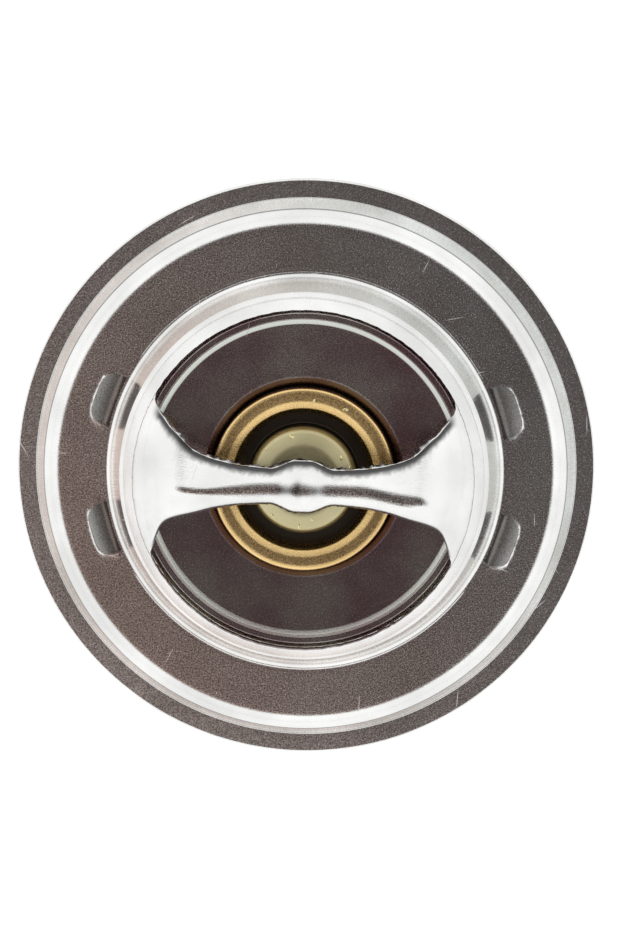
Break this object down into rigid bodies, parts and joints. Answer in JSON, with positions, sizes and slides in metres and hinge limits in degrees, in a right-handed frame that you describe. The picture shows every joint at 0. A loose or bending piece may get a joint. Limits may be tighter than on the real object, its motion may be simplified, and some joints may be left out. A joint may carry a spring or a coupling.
{
  "type": "engine thermostat",
  "caption": "Round engine coolant valve: flanged steel body with an arched bridge strap, wax element, sprung valve plate and lower frame.",
  "frame": {"origin": "centre of the rim, in the plane of its underside, which is the seating plane", "axes": "+Z along the valve's axis towards the outlet side, where the bridge strap is; +X along the strap"},
  "size_m": [0.054, 0.054, 0.0446],
  "materials": {
    "zinc_steel": "bright zinc plate, lightly scratched",
    "zinc_steel_frame": "bright zinc plate",
    "plate_steel": "zinc plate, fine grain",
    "copper_alloy": "drawn copper alloy, slightly tarnished",
    "brass": "turned brass, slightly tarnished",
    "backup_plastic": "smooth",
    "boot_rubber": "moulded",
    "wax": "wax with copper powder",
    "piston_steel": "ground",
    "spring_steel": "drawn wire"
  },
  "bodies": {
    "housing": {"bridge_flange": "zinc_steel", "lower_frame": "zinc_steel_frame", "piston": "piston_steel", "return_spring": "spring_steel"},
    "valve": {"valve_plate": "plate_steel", "wax_cup": "copper_alloy", "piston_guide": "brass", "backup_ring": "backup_plastic", "rubber_boot": "boot_rubber", "wax_charge": "wax"}
  },
  "joints": [
    {"name": "valve_slide", "type": "slide", "parent": "housing", "child": "valve", "axis": [0, 0, -1], "range_m": [0, 0.008], "stiffness_N_per_m": 4000, "springref_m": -0.01, "deforming": ["return_spring"]}
  ]
}
